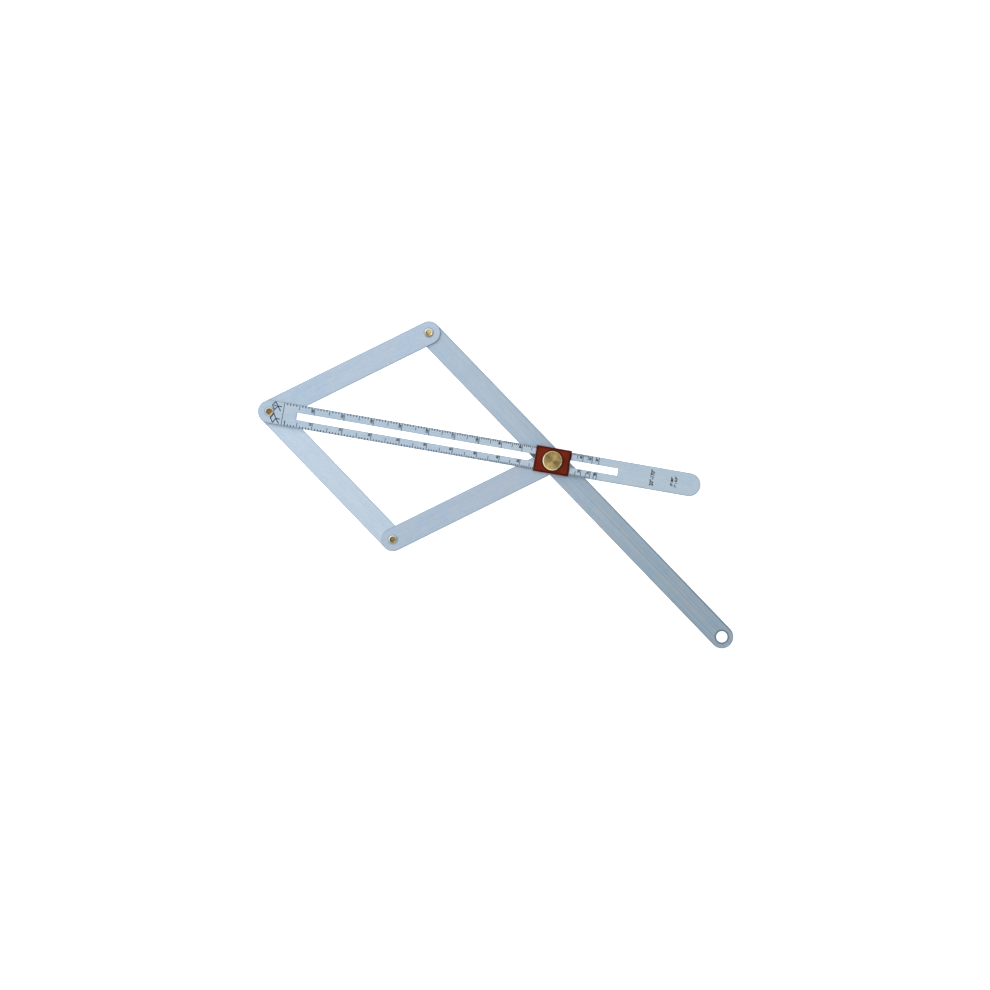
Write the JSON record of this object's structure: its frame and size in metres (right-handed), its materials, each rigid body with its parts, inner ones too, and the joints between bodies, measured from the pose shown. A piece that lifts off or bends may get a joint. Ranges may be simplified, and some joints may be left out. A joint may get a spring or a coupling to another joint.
{
  "type": "corner angle bevel",
  "caption": "Folding angle bevel of flat links hinged as a rhombus, with a slotted degree arm and a clamp slider; it takes a corner's angle and halves it for a mitre.",
  "frame": {"origin": "on the apex pivot's axis, in the plane that the rivet tails and the screw head lie on", "axes": "+X along the slotted scale arm from the apex to its grip; +Y to the upper link's side; +Z out of the scale's face"},
  "size_m": [0.4281, 0.23, 0.0176],
  "materials": {
    "bright_aluminium": "anodised, fine lengthwise grain",
    "brushed_aluminium": "brushed lengthwise, slightly darker",
    "red_paint": "satin red-brown coating",
    "brass": "turned face, knurled rim",
    "rivet_brass": "pressed and peened",
    "screw_steel": "bright zinc plate",
    "scale_ink": "dark fill of the scale's marks",
    "washer_plastic": "matt acetal"
  },
  "bodies": {
    "scale_body": {"scale_arm": "bright_aluminium", "apex_rivet": "rivet_brass", "apex_rove": "rivet_brass", "apex_washer_low": "washer_plastic", "apex_washer_high": "washer_plastic"},
    "upper_body": {"upper_link": "bright_aluminium", "upper_rivet": "rivet_brass", "upper_rove": "rivet_brass", "upper_washer": "washer_plastic"},
    "lower_body": {"lower_link": "bright_aluminium", "lower_rivet": "rivet_brass", "lower_rove": "rivet_brass", "lower_washer": "washer_plastic"},
    "cross_body": {"cross_link": "bright_aluminium"},
    "long_body": {"long_arm": "brushed_aluminium", "clamp_screw": "screw_steel", "clamp_washer_low": "washer_plastic", "clamp_washer_high": "washer_plastic"},
    "slider_body": {"slider": "red_paint"},
    "knob_washer_body": {"knob_washer": "screw_steel"},
    "knob_body": {"knob": "brass"}
  },
  "joints": [
    {"name": "upper_link_fold", "type": "hinge", "parent": "scale_body", "child": "upper_body", "pos_m": [0, 0, 0.0045], "axis": [0, 0, 1], "range_deg": [-26.2, 48.8]},
    {"name": "lower_link_fold", "type": "hinge", "parent": "scale_body", "child": "lower_body", "pos_m": [0, 0, 0.0022], "axis": [0, 0, 1], "range_deg": [-48.8, 26.2]},
    {"name": "long_arm_pivot", "type": "hinge", "parent": "upper_body", "child": "long_body", "pos_m": [0.12104, 0.08859, 0.0022], "axis": [0, 0, 1], "range_deg": [-97.6, 52.4]},
    {"name": "cross_link_pivot", "type": "hinge", "parent": "lower_body", "child": "cross_body", "pos_m": [0.12104, -0.08859, 0.0045], "axis": [0, 0, 1], "range_deg": [-52.4, 97.6]},
    {"name": "slider_pivot", "type": "hinge", "parent": "long_body", "child": "slider_body", "pos_m": [0.24209, 0, 0.0088], "axis": [0, 0, 1], "range_deg": [-26.2, 48.8]},
    {"name": "knob_turn", "type": "hinge", "parent": "knob_washer_body", "child": "knob_body", "pos_m": [0.24209, 0, 0.013], "axis": [0, 0, 1], "range_deg": [0, 360]},
    {"name": "knob_lift", "type": "slide", "parent": "long_body", "child": "knob_washer_body", "axis": [0, 0, 1], "range_m": [0, 0.0007]}
  ],
  "couplings": [
    {"joint": "lower_link_fold", "follows": "upper_link_fold", "ratio": -1},
    {"joint": "long_arm_pivot", "follows": "upper_link_fold", "ratio": -2},
    {"joint": "cross_link_pivot", "follows": "upper_link_fold", "ratio": 2},
    {"joint": "slider_pivot", "follows": "upper_link_fold", "ratio": 1},
    {"joint": "knob_lift", "follows": "knob_turn", "m_per_rad": 0.00011141}
  ]
}
